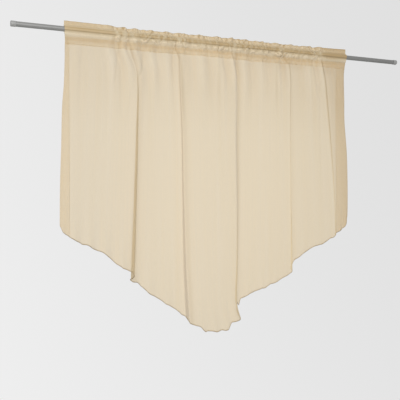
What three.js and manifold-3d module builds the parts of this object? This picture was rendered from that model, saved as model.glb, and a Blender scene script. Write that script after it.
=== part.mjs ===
import * as THREE from 'three';
import { mergeVertices } from 'three/addons/utils/BufferGeometryUtils.js';
import Module from 'manifold-3d';

// Sizes in millimetres. The origin is the middle of the rod's axis, +X runs along the rod to the right
// as seen from the front, +Y points to the back and +Z up. A drop is a distance below the rod's axis.
const ROD_DIAMETER = 16;
const ROD_WALL = 1.2;
const ROD_SEGMENTS = 40;
const OVERALL_LENGTH = 1460;
const CAP_DIAMETER = 17.8;
const CAP_LENGTH = 15;
const CAP_CHAMFER = 1.2;
const PLUG_LENGTH = 16;
const FIT_GAP = 0.3;

// The cloth: one layer, the doubled header and side hems, the turned-in band, and the rolled lower hem.
const PANEL_THICKNESS = 1.2;
const DOUBLE_THICKNESS = 2;
const TURN_IN_THICKNESS = 2.6;
const ROLLED_HEM_THICKNESS = 2.4;
const SIDE_HEM_WIDTH = 30;
const HEADER_SEAM = -12.5;
const TURN_IN_TOP = 22;
const TURN_IN_END = 46;

// The pocket round the rod: half its depth outside and inside at each drop.
const POCKET_OUTSIDE = { drop: [-12.5, -6.8, 0, 7, 14, 22], half: [1.1, 7.8, 10.1, 8.9, 4.6, 1.3] };
const POCKET_INSIDE = { drop: [-9.2, -6.2, 0, 7, 14, 18.5], half: [0, 6.7, 8.9, 7.6, 3.3, 0] };
const POCKET_WRINKLE = { depth: 0.85, perGather: 0.1 };
const TUNNEL_OVERRUN = 20;

// Where the cloth's two side edges hang, and how high the header stands along the rod.
const SIDES = {
  drop: [-28, 0, 46, 160, 240, 360, 480, 620],
  left: [-571, -571, -566, -568, -574, -577, -581, -583],
  right: [488, 488, 488, 493, 495, 507, 512, 515],
};
const HEADER = {
  across: [-566, -490, -409, -360, -200, 0, 200, 370, 488],
  top: [26, 26, 22, 25, 24, 26, 25, 27, 30],
};

// The five main folds. Down the cloth each has its place across, and how far the cloth stands back (+)
// or forward (-) just before and just after it. Half is half the fold's width, lean tips its wall, and
// swell bows out the cloth that follows it.
const FOLD_DROPS = [46, 115, 313, 530, 756, 890, 960];
const FOLDS = [
  {
    half: 4, lean: 5, swell: 4,
    across: [-357, -334, -335, -341, -349, -355, -357],
    before: [-2, -5, -11, -13, -18, -19, -20],
    after: [2, 5, 10, 13, 18, 19, 20],
  },
  {
    half: 2.8, lean: 2, swell: -5,
    across: [-190, -187, -178, -174, -168, -161, -158],
    before: [0, 3, 4, 6, 10, 13, 14],
    after: [-2, -4, -5, -8, -12, -15, -16],
  },
  {
    half: 9, lean: 0, swell: 5,
    across: [17, 27, 26, 29, 28, 25, 46],
    before: [-2, -6, -8, -12, -22, -28, -30],
    after: [1, 8, 9, 12, 20, 23, 24],
  },
  {
    half: 3, lean: 2, swell: -4,
    across: [238, 245, 246, 248, 252, 255, 256],
    before: [0, -2, -3, -4, -6, -6, -6],
    after: [0, 2, 3, 4, 6, 6, 6],
  },
  {
    half: 3.2, lean: 2.4, swell: 3,
    across: [387, 398, 419, 437, 446, 447, 448],
    before: [-4, -8, -8, -7, -6, -6, -6],
    after: [-2, -1, 0, 0, 1, 1, 1],
  },
];
const FOLDS_START = 10;
const FOLDS_FULL = 60;
const FOLD_STEEPNESS = 1.5;
const LEAN_SHARE = 0.2;
const SHOULDER = 2.6;
const FOLD_COLUMNS = [-SHOULDER, -1.6, -1, -0.5, 0, 0.5, 1, 1.6, SHOULDER];
const FOLD_CLEARANCE = 3;
const EDGE_COLUMNS = [0, 6, 14, 24, 32, 58, 86, 112];
const EDGE_CLEARANCE = 12;
const LEFT_EDGE = { stands: [0, 2, 0, -4, -8, -8, -8], curl: 13, reach: 13, swell: 2 };
const RIGHT_EDGE = { stands: [0, 3, 6, 9, 12, 12, 12], curl: 9, reach: 12 };

// The small gathers that start in the heading: place across, half width, how far each stands back (+)
// or forward (-), and how far down it still runs where the folds are full.
const GATHERS = [
  { at: -428, half: 13, out: -4, run: 130 },
  { at: -404, half: 11, out: 7, run: 260 },
  { at: -384, half: 9, out: -9, run: 150 },
  { at: -364, half: 9, out: 8, run: 120 },
  { at: -343, half: 10, out: -7, run: 100 },
  { at: -318, half: 13, out: 5, run: 180 },
  { at: -289, half: 12, out: -6, run: 220 },
  { at: -262, half: 12, out: 6, run: 140 },
  { at: -235, half: 12, out: -5, run: 240 },
  { at: -206, half: 11, out: 8, run: 110 },
  { at: -181, half: 11, out: -8, run: 130 },
  { at: -148, half: 14, out: 6, run: 210 },
  { at: -113, half: 14, out: -6, run: 160 },
  { at: -80, half: 13, out: 7, run: 230 },
  { at: -50, half: 12, out: -6, run: 150 },
  { at: -20, half: 12, out: 8, run: 120 },
  { at: 4, half: 10, out: -9, run: 110 },
  { at: 27, half: 10, out: 7, run: 130 },
  { at: 54, half: 13, out: -6, run: 240 },
  { at: 90, half: 15, out: 5, run: 170 },
  { at: 122, half: 13, out: -5, run: 200 },
  { at: 154, half: 13, out: 6, run: 150 },
  { at: 187, half: 12, out: -7, run: 180 },
  { at: 215, half: 10, out: 9, run: 120 },
  { at: 240, half: 11, out: -8, run: 140 },
  { at: 281, half: 16, out: 5, run: 210 },
  { at: 319, half: 13, out: -6, run: 170 },
  { at: 348, half: 10, out: 9, run: 120 },
  { at: 371, half: 10, out: -8, run: 110 },
];
const GATHER_DROPS = { drop: [-28, -12.5, 0, 26, 46, 80], share: [1, 0.35, 0, 0.45, 0.8, 0.85] };

// The pointed lower hem, stretch by stretch: its drop along the width. Beside a fold it jumps, because
// the fold's wall takes up cloth.
const HEM = [
  { stretch: 'left corner', across: [-583, -574, -551], drop: [606, 627, 642] },
  { stretch: 'left slope', across: [-500, -446, -388], drop: [670, 697, 743] },
  { stretch: 'first fold', across: [-357, -350, -342, -330], drop: [760, 784, 797, 800] },
  { stretch: 'to the second fold', across: [-284, -194], drop: [838, 897] },
  { stretch: 'second fold', across: [-164, -154], drop: [922, 943] },
  { stretch: 'point', across: [-101, -61, -31, -18], drop: [966, 977, 974, 970] },
  { stretch: 'step after the point', across: [-12, -4, 29], drop: [960, 948, 943] },
  { stretch: 'third fold', across: [40, 46, 54], drop: [931, 905, 882] },
  { stretch: 'to the fourth fold', across: [135, 196], drop: [848, 827] },
  { stretch: 'fourth fold', across: [248, 264], drop: [794, 756] },
  { stretch: 'right slope', across: [304, 345, 390, 445], drop: [729, 707, 696, 665] },
  { stretch: 'right corner', across: [491, 507, 515], drop: [641, 622, 594] },
];
const HEM_ACROSS = HEM.flatMap((row) => row.across);
const HEM_DROP = HEM.flatMap((row) => row.drop);
const MIDDLE_HEM_DROP = 800;
const HEM_PASSES = 6;
const HEM_ROLL_FROM = 0.98;
const PANEL_ROWS = [0, 0.04, 0.09, 0.16, 0.27, 0.4, 0.53, 0.66, 0.78, 0.89, 0.985, 1];
const TANGENT_STEP = 0.4;
const MERGE_DISTANCE = 1e-4;

const wasm = await Module();
wasm.setup();

// Smooth value of a table's column at one place, held level beyond its ends.
function along(places, values, at) {
  const last = places.length - 1;
  if (at <= places[0]) return values[0];
  if (at >= places[last]) return values[last];
  let k = 0;
  while (places[k + 1] < at) k += 1;
  const slope = (i) => {
    const a = Math.max(i - 1, 0);
    const b = Math.min(i + 1, last);
    return (values[b] - values[a]) / (places[b] - places[a]);
  };
  const span = places[k + 1] - places[k];
  const t = (at - places[k]) / span;
  const rise = values[k + 1] - values[k];
  const m0 = slope(k) * span;
  const m1 = slope(k + 1) * span;
  return values[k] + t * (m0 + t * (3 * rise - 2 * m0 - m1 + t * (m0 + m1 - 2 * rise)));
}

// Straight-line value of a table's column.
function between(places, values, at) {
  const last = places.length - 1;
  if (at <= places[0]) return values[0];
  if (at >= places[last]) return values[last];
  let k = 0;
  while (places[k + 1] < at) k += 1;
  return THREE.MathUtils.mapLinear(at, places[k], places[k + 1], values[k], values[k + 1]);
}

// The lines that the cloth keeps to at this drop: its side edges and both shoulders of each fold.
function anchorsAt(drop) {
  const anchors = [along(SIDES.drop, SIDES.left, drop)];
  for (const fold of FOLDS) {
    const at = along(FOLD_DROPS, fold.across, drop);
    anchors.push(at - SHOULDER * fold.half, at + SHOULDER * fold.half);
  }
  anchors.push(along(SIDES.drop, SIDES.right, drop));
  return anchors;
}

const ROD_ANCHORS = anchorsAt(TURN_IN_END);
const LEFT_END = ROD_ANCHORS[0];
const RIGHT_END = ROD_ANCHORS.at(-1);

// How far across a column hangs at this drop, from its place on the rod.
function hungAt(place, drop) {
  return between(ROD_ANCHORS, anchorsAt(drop), place);
}

function gatherAt(place, drop) {
  let out = 0;
  for (const gather of GATHERS) {
    const u = (place - gather.at) / gather.half;
    const fade = 1 - THREE.MathUtils.smoothstep(drop, FOLDS_FULL, FOLDS_FULL + gather.run);
    out += gather.out * fade * Math.exp(-u * u);
  }
  return out;
}

// The cloth's middle surface: a point of the level section at this drop.
function clothAt(place, drop) {
  const across = hungAt(place, drop);
  const left = along(SIDES.drop, SIDES.left, drop);
  const right = along(SIDES.drop, SIDES.right, drop);
  const free = THREE.MathUtils.smoothstep(drop, FOLDS_START, FOLDS_FULL);
  const folds = FOLDS.map((fold) => ({
    ...fold,
    at: along(FOLD_DROPS, fold.across, drop),
    from: along(FOLD_DROPS, fold.before, drop),
    to: along(FOLD_DROPS, fold.after, drop),
  }));
  const leftEnd = along(FOLD_DROPS, LEFT_EDGE.stands, drop);
  const rightEnd = along(FOLD_DROPS, RIGHT_EDGE.stands, drop);
  const panel = (k) => {
    const start = k < 0 ? { at: left, to: leftEnd, swell: LEFT_EDGE.swell } : folds[k];
    const end = k + 1 < folds.length ? folds[k + 1] : { at: right, from: rightEnd };
    const f = (across - start.at) / (end.at - start.at);
    const bow = THREE.MathUtils.clamp(f, 0, 1);
    return start.to + f * (end.from - start.to) + start.swell * 4 * bow * (1 - bow);
  };
  let x = across;
  let stand = panel(-1);
  folds.forEach((fold, k) => {
    const u = (across - fold.at) / fold.half;
    const lean = Math.min(fold.lean, LEAN_SHARE * Math.abs(fold.to - fold.from));
    stand += (panel(k) - panel(k - 1)) * 0.5 * (1 + Math.tanh(FOLD_STEEPNESS * u));
    x -= free * lean * u * Math.exp(0.5 * (1 - u * u));
  });
  stand += LEFT_EDGE.curl * Math.exp(-(across - left) / LEFT_EDGE.reach);
  stand += RIGHT_EDGE.curl * Math.exp((across - right) / RIGHT_EDGE.reach);
  const share = along(GATHER_DROPS.drop, GATHER_DROPS.share, drop);
  return new THREE.Vector2(x, free * stand + share * gatherAt(place, drop));
}

function halfThickness(place, drop, hemShare) {
  if (drop > HEADER_SEAM && drop < TURN_IN_TOP) {
    const wrinkle = POCKET_WRINKLE.depth + POCKET_WRINKLE.perGather * gatherAt(place, drop);
    const bulge = Math.sin((Math.PI * (drop - HEADER_SEAM)) / (TURN_IN_TOP - HEADER_SEAM));
    return between(POCKET_OUTSIDE.drop, POCKET_OUTSIDE.half, drop) + wrinkle * bulge;
  }
  if (drop <= HEADER_SEAM) return DOUBLE_THICKNESS / 2;
  if (drop <= TURN_IN_END) return TURN_IN_THICKNESS / 2;
  if (hemShare > HEM_ROLL_FROM) return ROLLED_HEM_THICKNESS / 2;
  const fromSide = Math.min(place - LEFT_END, RIGHT_END - place);
  return (fromSide < SIDE_HEM_WIDTH ? DOUBLE_THICKNESS : PANEL_THICKNESS) / 2;
}

// Columns run down the crests and hollows of the gathers, close together across the folds.
function columnPlaces() {
  const places = [];
  const lastFold = FOLDS.at(-1).across[0];
  for (const inward of EDGE_COLUMNS) {
    places.push(LEFT_END + inward);
    if (RIGHT_END - inward > lastFold + EDGE_CLEARANCE) places.push(RIGHT_END - inward);
  }
  for (const fold of FOLDS) {
    for (const u of FOLD_COLUMNS) places.push(fold.across[0] + u * fold.half);
  }
  const room = (fold) => SHOULDER * fold.half + FOLD_CLEARANCE;
  const clear = (place) => FOLDS.every((fold) => Math.abs(place - fold.across[0]) > room(fold));
  GATHERS.forEach((gather, k) => {
    const next = GATHERS[Math.min(k + 1, GATHERS.length - 1)];
    const middle = (gather.at + next.at) / 2;
    if (clear(gather.at)) places.push(gather.at);
    if (next !== gather && clear(middle)) places.push(middle);
  });
  return places.sort((a, b) => a - b);
}

// Rows from the header's top edge, through the pocket and the turned-in band, to the hem.
function rowDrops(place) {
  const top = -along(HEADER.across, HEADER.top, place);
  const heading = [top, (top + HEADER_SEAM) / 2, ...POCKET_OUTSIDE.drop];
  let hem = MIDDLE_HEM_DROP;
  for (let pass = 0; pass < HEM_PASSES; pass += 1) {
    hem = between(HEM_ACROSS, HEM_DROP, hungAt(place, hem));
  }
  const panel = PANEL_ROWS.map((share) => TURN_IN_END + share * (hem - TURN_IN_END));
  return { heading, panel };
}

function clothVertex(place, drop, hemShare, side) {
  const here = clothAt(place, drop);
  const ahead = clothAt(place + TANGENT_STEP, drop);
  const tangent = ahead.sub(clothAt(place - TANGENT_STEP, drop)).normalize();
  const half = halfThickness(place, drop, hemShare) * side;
  return [here.x - tangent.y * half, here.y + tangent.x * half, -drop];
}

function sheetGeometry() {
  const places = columnPlaces();
  const columnCount = places.length;
  const positions = [];
  const rowCount = 2 + POCKET_OUTSIDE.drop.length + PANEL_ROWS.length;
  for (const side of [-1, 1]) {
    for (const place of places) {
      const { heading, panel } = rowDrops(place);
      heading.forEach((drop) => positions.push(...clothVertex(place, drop, 0, side)));
      panel.forEach((drop, row) => positions.push(...clothVertex(place, drop, PANEL_ROWS[row], side)));
    }
  }
  const index = [];
  const front = (column, row) => column * rowCount + row;
  const back = (column, row) => (columnCount + column) * rowCount + row;
  const quad = (a, b, c, d) => index.push(a, b, c, a, c, d);
  for (let column = 0; column + 1 < columnCount; column += 1) {
    for (let row = 0; row + 1 < rowCount; row += 1) {
      const next = column + 1;
      quad(front(column, row), front(column, row + 1), front(next, row + 1), front(next, row));
      quad(back(column, row), back(next, row), back(next, row + 1), back(column, row + 1));
    }
    const low = rowCount - 1;
    quad(front(column, 0), front(column + 1, 0), back(column + 1, 0), back(column, 0));
    quad(front(column + 1, low), front(column, low), back(column, low), back(column + 1, low));
  }
  const end = columnCount - 1;
  for (let row = 0; row + 1 < rowCount; row += 1) {
    quad(front(0, row + 1), front(0, row), back(0, row), back(0, row + 1));
    quad(front(end, row), front(end, row + 1), back(end, row + 1), back(end, row));
  }
  const geometry = new THREE.BufferGeometry();
  geometry.setAttribute('position', new THREE.Float32BufferAttribute(positions, 3));
  geometry.setIndex(index);
  return geometry;
}

// The straight tunnel of the pocket, longer than the cloth is wide.
function tunnelGeometry() {
  const section = new THREE.Shape();
  const { drop, half } = POCKET_INSIDE;
  drop.forEach((d, k) => (k === 0 ? section.moveTo(-d, half[k]) : section.lineTo(-d, half[k])));
  for (let k = drop.length - 2; k > 0; k -= 1) section.lineTo(-drop[k], -half[k]);
  const length = RIGHT_END - LEFT_END + 2 * TUNNEL_OVERRUN;
  const geometry = new THREE.ExtrudeGeometry(section, { depth: length, bevelEnabled: false });
  const turn = new THREE.Matrix4().makeBasis(
    new THREE.Vector3(0, 0, 1),
    new THREE.Vector3(0, 1, 0),
    new THREE.Vector3(-1, 0, 0),
  );
  geometry.applyMatrix4(turn);
  geometry.translate(RIGHT_END + TUNNEL_OVERRUN, 0, 0);
  return geometry;
}

function solidOf(geometry) {
  const bare = geometry.clone();
  bare.deleteAttribute('normal');
  bare.deleteAttribute('uv');
  const merged = mergeVertices(bare, MERGE_DISTANCE);
  return new wasm.Manifold(new wasm.Mesh({
    numProp: 3,
    vertProperties: new Float32Array(merged.attributes.position.array),
    triVerts: new Uint32Array(merged.index.array),
  }));
}

function geometryOf(solid) {
  const mesh = solid.getMesh();
  const geometry = new THREE.BufferGeometry();
  geometry.setAttribute('position', new THREE.Float32BufferAttribute(mesh.vertProperties, 3));
  geometry.setIndex(Array.from(mesh.triVerts));
  return geometry;
}

// The hung sheet with the rod's tunnel cut through its pocket.
function curtainGeometry() {
  const sheet = solidOf(sheetGeometry());
  const tunnel = solidOf(tunnelGeometry());
  return geometryOf(sheet.subtract(tunnel));
}

// A turned piece on the rod's axis, from a profile of [radius, place along the rod] pairs.
function turned(profile) {
  const points = profile.map(([radius, place]) => new THREE.Vector2(radius, place));
  const geometry = new THREE.LatheGeometry(points, ROD_SEGMENTS);
  geometry.rotateZ(-Math.PI / 2);
  return geometry;
}

function rodGeometry() {
  const end = OVERALL_LENGTH / 2 - CAP_LENGTH - FIT_GAP;
  const outer = ROD_DIAMETER / 2;
  const inner = outer - ROD_WALL;
  return turned([[inner, -end], [outer, -end], [outer, end], [inner, end], [inner, -end]]);
}

function capGeometry() {
  const outside = OVERALL_LENGTH / 2;
  const shoulder = outside - CAP_LENGTH;
  const radius = CAP_DIAMETER / 2;
  const plug = ROD_DIAMETER / 2 - ROD_WALL - FIT_GAP;
  return turned([
    [0, shoulder - PLUG_LENGTH],
    [plug, shoulder - PLUG_LENGTH],
    [plug, shoulder],
    [radius, shoulder],
    [radius, outside - CAP_CHAMFER],
    [radius - CAP_CHAMFER, outside],
    [0, outside],
  ]);
}

function addPiece(group, name, geometry, look) {
  const mesh = new THREE.Mesh(geometry, new THREE.MeshStandardMaterial(look));
  mesh.name = name;
  group.add(mesh);
  return mesh;
}

const curtainRod = new THREE.Group();
const voileLook = { color: '#dbcca9', roughness: 0.9, metalness: 0 };
const rodLook = { color: '#96979a', roughness: 0.35, metalness: 0.9 };
const capLook = { color: '#8b8b88', roughness: 0.45, metalness: 0.3 };

addPiece(curtainRod, 'curtain', curtainGeometry(), voileLook);
addPiece(curtainRod, 'rod', rodGeometry(), rodLook);
addPiece(curtainRod, 'cap_right', capGeometry(), capLook);
addPiece(curtainRod, 'cap_left', capGeometry(), capLook).rotation.z = Math.PI;

export default curtainRod;
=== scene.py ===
import math
import bpy
import numpy as np
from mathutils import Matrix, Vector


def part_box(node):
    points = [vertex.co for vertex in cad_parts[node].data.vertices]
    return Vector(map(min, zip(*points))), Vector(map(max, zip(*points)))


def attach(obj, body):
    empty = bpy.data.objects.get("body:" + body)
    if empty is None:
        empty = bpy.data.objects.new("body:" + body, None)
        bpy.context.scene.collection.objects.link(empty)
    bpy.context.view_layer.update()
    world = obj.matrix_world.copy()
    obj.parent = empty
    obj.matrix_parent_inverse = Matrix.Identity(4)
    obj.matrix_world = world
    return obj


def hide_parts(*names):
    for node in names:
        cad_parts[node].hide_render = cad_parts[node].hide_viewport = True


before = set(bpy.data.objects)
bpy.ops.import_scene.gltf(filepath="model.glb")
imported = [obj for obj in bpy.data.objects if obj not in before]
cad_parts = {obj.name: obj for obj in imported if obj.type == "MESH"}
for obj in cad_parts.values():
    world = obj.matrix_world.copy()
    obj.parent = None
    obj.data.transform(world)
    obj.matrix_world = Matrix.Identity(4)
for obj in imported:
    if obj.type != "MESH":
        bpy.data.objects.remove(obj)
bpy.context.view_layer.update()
mm = 0.001
print("frame loaded with", len(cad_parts), "nodes")


# camera at the height of the cloth's middle, from the left
cameraSetup = {
    "place": (-971.7, -1931.0, -483.0), "turn": -24.0,
    "lens": 56.25, "sensor": 36.0, "shift": -0.03625, "farthest": 50.0,
}
lens = bpy.data.cameras.new("camera")
lens.lens = cameraSetup["lens"]
lens.sensor_width = cameraSetup["sensor"]
lens.shift_y = cameraSetup["shift"]
lens.clip_end = cameraSetup["farthest"]
eye = bpy.data.objects.new("camera", lens)
eye.location = [value * mm for value in cameraSetup["place"]]
eye.rotation_euler = (math.radians(90), 0, math.radians(cameraSetup["turn"]))
bpy.context.collection.objects.link(eye)
bpy.context.scene.camera = eye
print("camera placed")


# one socket that Python sums work on
class Wire:
    def __init__(self, nodes, socket):
        self.nodes = nodes
        self.socket = socket

    def math(self, operation, *values):
        return self.nodes.add("Math", dict(enumerate(values)), operation=operation)

    def __add__(self, other):
        return self.math("ADD", self, other)

    __radd__ = __add__

    def __sub__(self, other):
        return self.math("SUBTRACT", self, other)

    def __rsub__(self, other):
        return self.math("SUBTRACT", other, self)

    def __mul__(self, other):
        return self.math("MULTIPLY", self, other)

    __rmul__ = __mul__

    def __truediv__(self, other):
        return self.math("DIVIDE", self, other)

    def sine(self):
        return self.math("SINE", self)

    def root(self):
        return self.math("SQRT", self)

    def clamp(self, low=0.0, high=1.0):
        return self.math("MINIMUM", self.math("MAXIMUM", self, low), high)


# an empty node tree, with one method that adds any node
class Nodes:
    def __init__(self, owner):
        owner.use_nodes = True
        self.tree = owner.node_tree
        self.tree.nodes.clear()

    def add(self, kind, sockets, out=0, **settings):
        node = self.tree.nodes.new("ShaderNode" + kind)
        for key, value in settings.items():
            setattr(node, key, value)
        for key, value in sockets.items():
            if isinstance(value, Wire):
                self.tree.links.new(value.socket, node.inputs[key])
            else:
                node.inputs[key].default_value = value
        return Wire(self, node.outputs[out]) if len(node.outputs) else None

    # sockets 0, 6 and 7: factor and two colours
    def blend(self, factor, first, second):
        return self.add("Mix", {0: factor, 6: first, 7: second}, out=2, data_type="RGBA")


class Finish(Nodes):
    def __init__(self, name):
        self.material = bpy.data.materials.new(name)
        super().__init__(self.material)

    def objectCoords(self):
        return self.add("TexCoord", {}, out="Object")

    def attribute(self, name):
        return self.add("Attribute", {}, out="Fac", attribute_name=name)

    def noise(self, coords, scale, detail=2.0, stretch=(1, 1, 1), roughness=0.5):
        laid = self.add("Mapping", {"Vector": coords, "Scale": stretch})
        sockets = {"Vector": laid, "Scale": scale, "Detail": detail, "Roughness": roughness}
        return self.add("TexNoise", sockets)

    def finish(self, sockets, bump=None, sheer=None):
        if bump:
            sockets["Normal"] = self.add("Bump", bump)
        shader = self.add("BsdfPrincipled", sockets)
        if sheer:
            glow = self.add("BsdfTranslucent", {"Color": sheer["glow"]})
            lit = self.add("MixShader", {0: sheer["through"], 1: shader, 2: glow})
            clear = self.add("BsdfTransparent", {})
            shader = self.add("MixShader", {0: sheer["cover"], 1: clear, 2: lit})
        self.add("OutputMaterial", {"Surface": shader})
        return self.material


# sheer plain-weave voile; lengths in metres of cloth
voileLook = {
    "tone": (0.80, 0.652, 0.42, 1),
    "paleTone": (0.84, 0.698, 0.475, 1),
    # painted shade for dense cloth and creases, and a painted highlight for crests
    "denseShadeTone": (0.66, 0.478, 0.252, 1),
    "creaseShadeTone": (0.44, 0.32, 0.18, 1),
    "highlightTone": (0.95, 0.80, 0.57, 1),
    "glow": (0.86, 0.705, 0.455, 1),
    "rough": 0.86, "sheen": 0.12, "specular": 0.2,
    "yarnPitch": 0.0009, "uvMetres": 1.5,
    "warpStretch": (260, 2.5, 1), "wideStretch": (60, 1.2, 1), "weftStretch": (9, 420, 1),
    # share of what is behind it that a layer hides
    "veil": {
        "panel": 0.72, "right": 0.05, "side": 0.30, "tucked": 0.30,
        "back": 0.45, "header": 0.82, "pocket": 0.93, "pucker": 0.88,
    },
    "through": (0.5, 0.03, 0.6),  # share of light that shines through: plain, least, most
}


def voileFinish(look):
    finish = Finish("voile_sheer")
    uv = finish.add("UVMap", {}, uv_map="cloth")
    across, down = (finish.add("SeparateXYZ", {0: uv}, out=axis) for axis in "XY")
    # painted shade at creases, denser cloth with painted shade (+) or painted highlight (-), and how much a
    # layer hides
    creaseShade, denseAndShade, veil = (finish.attribute(name) for name in ("creaseShade", "denseAndShade", "veil"))
    massAndShade = denseAndShade.clamp()
    turns = 2 * math.pi * look["uvMetres"] / look["yarnPitch"]
    weave = (across * turns).sine() * (down * turns).sine()
    warpStreaks = finish.noise(uv, 1.0, 3.0, look["warpStretch"])
    wideStreaks = finish.noise(uv, 1.0, 2.0, look["wideStretch"])
    weftSlubs = finish.noise(uv, 1.0, 2.0, look["weftStretch"])
    streak = (warpStreaks - 0.5) * 0.9 + (wideStreaks - 0.5) * 0.8 + (weftSlubs - 0.5) * 0.35
    plain = finish.blend((streak + 0.5).clamp(), look["tone"], look["paleTone"])
    # painted highlight on crests, painted shade where the cloth is dense, darkest painted shade at creases
    highlighted = finish.blend((denseAndShade * -1.0).clamp(), plain, look["highlightTone"])
    shadedColour = finish.blend(massAndShade, highlighted, look["denseShadeTone"])
    colour = finish.blend(creaseShade.clamp(), shadedColour, look["creaseShadeTone"])
    cover = veil - streak * 0.10 + weave * 0.03 + creaseShade * 0.20 + massAndShade * 0.06
    usual, least, most = look["through"]
    through = usual - (veil - look["veil"]["panel"]) * 2.0 - creaseShade * 0.3 - massAndShade * 0.2
    sheer = {"cover": cover.clamp(), "glow": look["glow"], "through": through.clamp(least, most)}
    sockets = {
        "Base Color": colour, "Roughness": look["rough"],
        "Sheen Weight": look["sheen"], "Specular IOR Level": look["specular"],
    }
    bump = {"Height": weave + streak * 1.5, "Strength": 0.12, "Distance": 0.0004}
    return finish.finish(sockets, bump, sheer)


threadLook = {
    "name": "sewing_thread", "dark": (0.42, 0.34, 0.22, 1), "light": (0.55, 0.45, 0.29, 1),
    "grain": {"scale": 900}, "cloud": {"scale": 900}, "grainShade": 0,
    "rough": 0.7, "grainRough": 0.2, "metal": 0, "bump": 0.3, "bumpDepth": 0.0003,
}
# grey rod with fine lines along it and a few dull worn marks
rodLook = {
    "name": "rod_brushed_grey", "dark": (0.285, 0.285, 0.275, 1), "light": (0.42, 0.42, 0.41, 1),
    "grain": {"scale": 1, "detail": 4, "stretch": (6, 1400, 1400)}, "cloud": {"scale": 14, "detail": 3},
    "grainShade": 0.6, "worn": {"scale": 55, "detail": 5, "roughness": 0.7}, "wornRough": 0.10,
    "rough": 0.46, "grainRough": 0.14, "metal": 0.3, "bump": 0.10, "bumpDepth": 0.0003,
}
capLook = {
    "name": "cap_satin_grey", "dark": (0.42, 0.42, 0.41, 1), "light": (0.53, 0.53, 0.517, 1),
    "grain": {"scale": 1600, "detail": 3}, "cloud": {"scale": 60, "detail": 3}, "grainShade": 0,
    "rough": 0.46, "grainRough": 0.16, "metal": 0.3, "bump": 0.12, "bumpDepth": 0.0002,
}


# two tones mixed by a fine grain and a cloud, with duller worn spots
def grainFinish(look):
    finish = Finish(look["name"])
    coords = finish.objectCoords()
    grain = finish.noise(coords, **look["grain"])
    cloud = finish.noise(coords, **look["cloud"])
    shade = grain * look["grainShade"] + cloud * (1 - look["grainShade"])
    rough = look["rough"] + look["grainRough"] * grain
    if "worn" in look:
        worn = finish.noise(coords, **look["worn"])
        rough = rough + look["wornRough"] * ((worn - 0.58) * 5).clamp()
    sockets = {
        "Base Color": finish.blend(shade.clamp(), look["dark"], look["light"]),
        "Metallic": look["metal"], "Roughness": rough,
    }
    return finish.finish(sockets, {"Height": grain, "Strength": look["bump"], "Distance": look["bumpDepth"]})


finishes = {
    "voile": voileFinish(voileLook), "thread": grainFinish(threadLook),
    "rod": grainFinish(rodLook), "cap": grainFinish(capLook),
}
print("materials made")


# curtain sizes in millimetres; a drop is a distance below the rod's axis
curtain = {
    "headerSeam": -12.5, "turnInTop": 22.0, "turnInEnd": 46.0,
    "panelGap": 4.0,  # from the band's end to the panel's first row
    "settle": 24.0,  # drop in which the front layer falls back to the middle
    "sideHemLines": {"left": -553.0, "right": 448.0},
    "fullness": 1.24, "layerGap": 0.9, "headerGap": 0.55,
    "columnStep": 3.6, "foldColumns": 16, "panelRows": 100,
    "probe": 0.4,  # step to each side when the cloth's direction is read
    "sideDrops": [-28, 0, 46, 160, 240, 360, 480, 620],
    "left": [-571, -571, -566, -568, -574, -577, -581, -583],
    "right": [488, 488, 488, 493, 495, 507, 512, 515],
    "headerAcross": [-566, -490, -425, -385, -200, 0, 200, 370, 488],
    "headerTop": [26, 26, 25.5, 23, 24, 26, 25, 27, 30],
    # lower edge: place across and drop, a line for each stretch between folds
    "hem": [
        (-583, 606), (-574, 627), (-551, 642), (-500, 670), (-446, 697), (-388, 743), (-357, 760),
        (-350, 784), (-342, 797), (-330, 800), (-284, 838), (-194, 897),
        (-164, 922), (-154, 943), (-101, 966), (-61, 977), (-31, 974), (-18, 970), (-12, 960), (-4, 948),
        (29, 943), (40, 931), (46, 905), (54, 882), (135, 848), (196, 827), (248, 794),
        (264, 756), (304, 729), (345, 707), (390, 696), (445, 665),
        (491, 641), (507, 622), (515, 594),
    ],
    # first guess and number of passes when a column's end is looked for
    "hemStart": 800.0, "sideHemStart": 620.0, "hemPasses": 6,
}
hemAcross, hemDrop = zip(*curtain["hem"])


# smooth reading of a table, level beyond its ends
def along(places, values, at):
    places = np.asarray(places, float)
    values = np.asarray(values, float)
    low = np.maximum(np.arange(len(places)) - 1, 0)
    high = np.minimum(np.arange(len(places)) + 1, len(places) - 1)
    slopes = (values[high] - values[low]) / (places[high] - places[low])
    at = np.clip(at, places[0], places[-1])
    k = np.clip(np.searchsorted(places, at, side="right") - 1, 0, len(places) - 2)
    span = places[k + 1] - places[k]
    t = (at - places[k]) / span
    rise = values[k + 1] - values[k]
    start = slopes[k] * span
    end = slopes[k + 1] * span
    return values[k] + t * (start + t * (3 * rise - 2 * start - end + t * (start + end - 2 * rise)))


# 0 up to low, 1 from high on, smooth between
def ease(value, low, high):
    t = np.clip((value - low) / (high - low), 0, 1)
    return t * t * (3 - 2 * t)


# bell curve, 1 in the middle
def bell(aside, half):
    return np.exp(-((aside / half) ** 2))


# a wave whose pitch drifts along the cloth
def wander(place, span, drift, driftSpan):
    return np.sin(place / span + drift * np.sin(place / driftSpan))


# soft oval spots: place, drop, half width, half height, slant, size
def spotsAt(rows, place, drop):
    out = np.zeros_like(place)
    for at, level, half, tall, slant, size in rows:
        low = (drop - level) / tall
        wide = (place - at - slant * (drop - level)) / half
        out += size * np.exp(-wide * wide - low * low)
    return out


# random rows from a seed, one number from each range
def drawRows(seed, count, ranges):
    pick = np.random.default_rng(seed)
    return [[pick.uniform(*limits) for limits in ranges] for row in range(count)]


def sideAt(side, drop):
    return along(curtain["sideDrops"], curtain[side], drop)


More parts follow.
